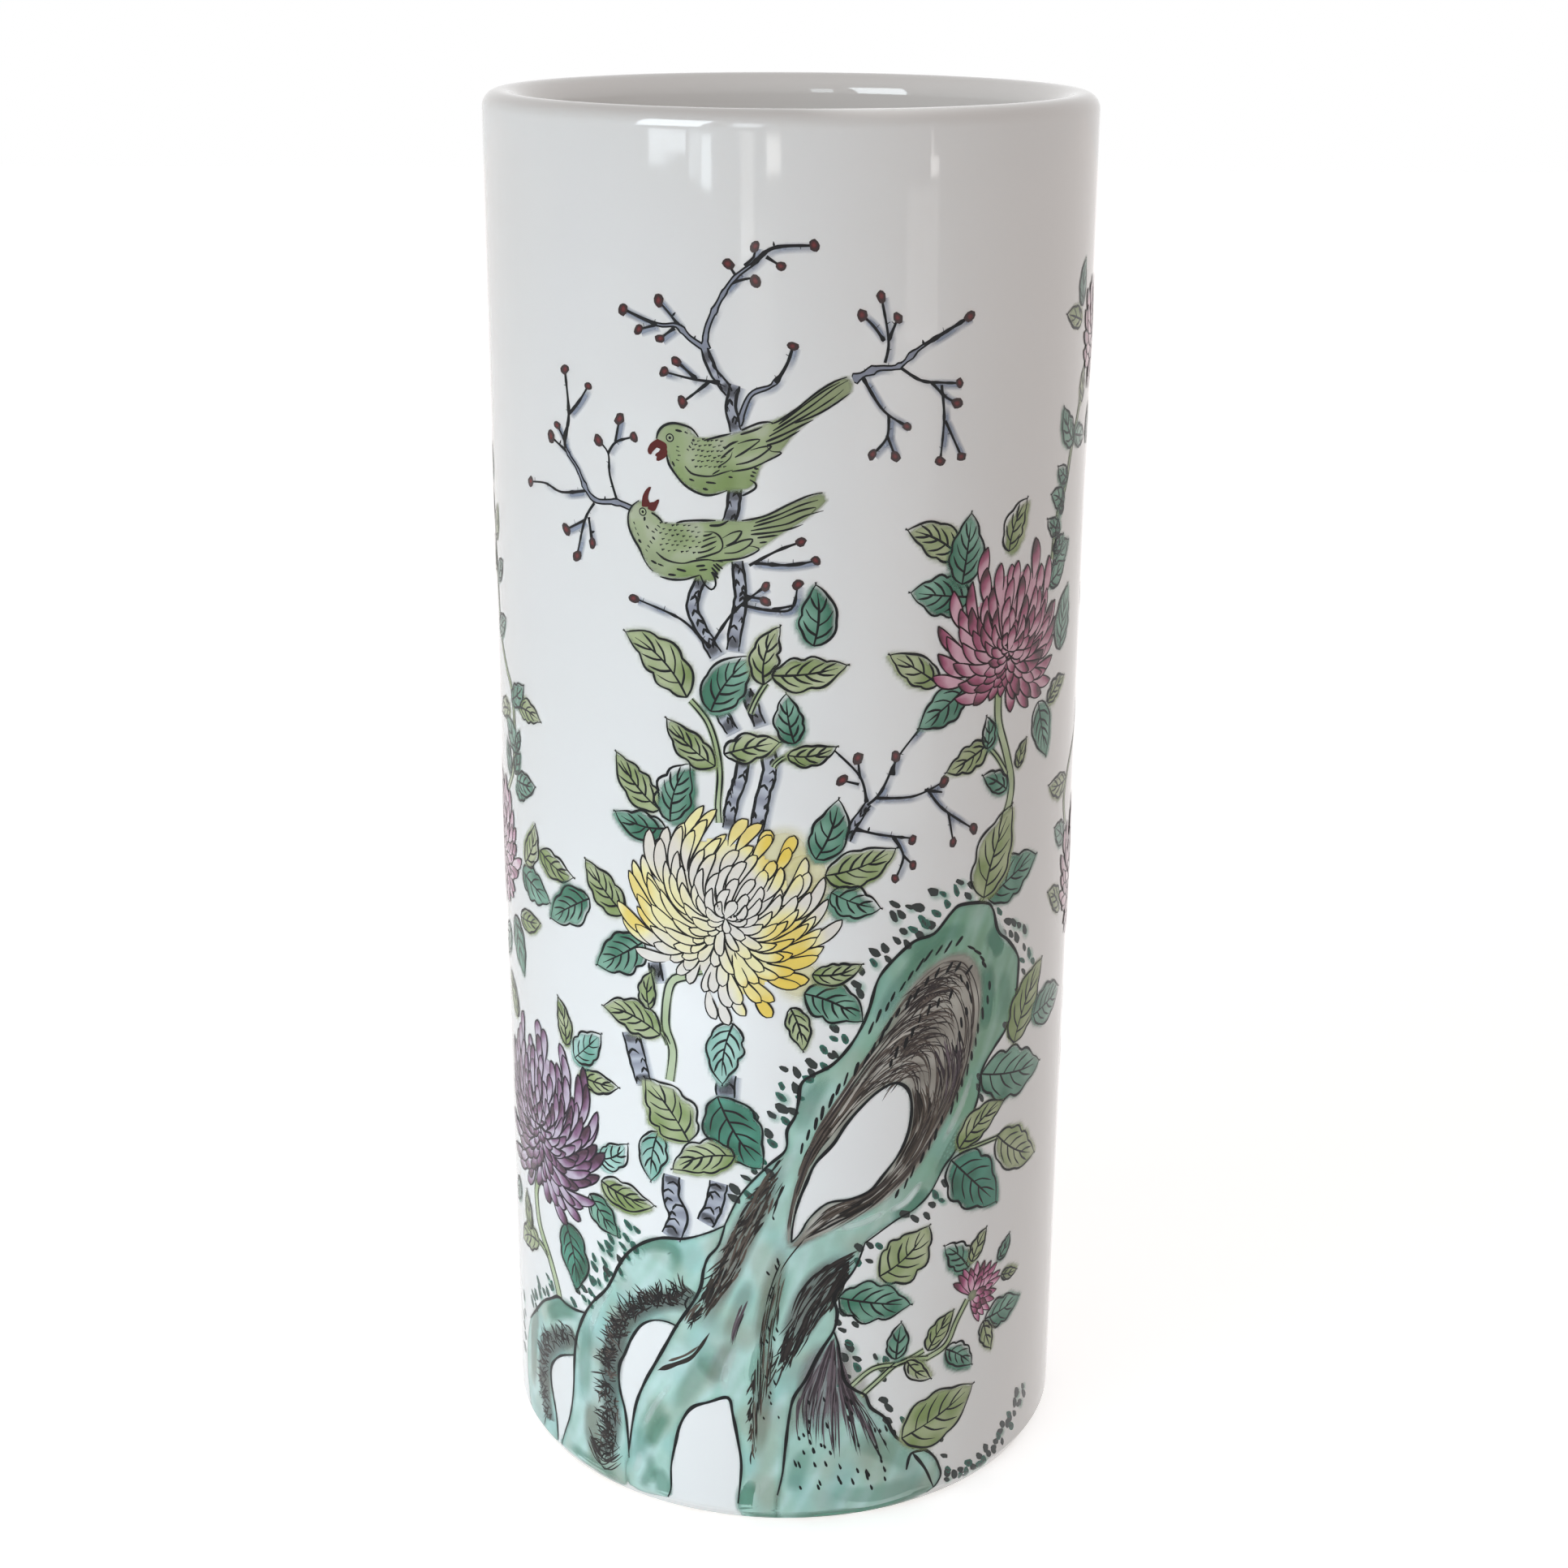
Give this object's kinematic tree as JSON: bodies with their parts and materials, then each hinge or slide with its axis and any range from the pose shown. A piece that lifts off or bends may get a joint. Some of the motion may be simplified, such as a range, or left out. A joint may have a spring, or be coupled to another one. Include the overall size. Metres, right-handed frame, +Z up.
{
  "type": "cylindrical vase",
  "caption": "Tall straight-sided porcelain sleeve vase with a thick rounded lip, a let-in floor and a bare foot ring, painted with flowers and birds.",
  "frame": {"origin": "centre of the bare foot ring, on the surface that the vase stands on", "axes": "+Z up along the vase's axis; -Y is the painted front that the picture shows"},
  "size_m": [0.12, 0.12, 0.286],
  "materials": {
    "glazed_porcelain": "clear glossy glaze over white porcelain, with overglaze enamel painting on the outside",
    "bare_porcelain": "matt unglazed biscuit, a little stained"
  },
  "bodies": {
    "root": {"body_wall": "glazed_porcelain", "rim_lip": "glazed_porcelain", "floor_slab": "glazed_porcelain", "foot_ring": "bare_porcelain"}
  },
  "joints": []
}
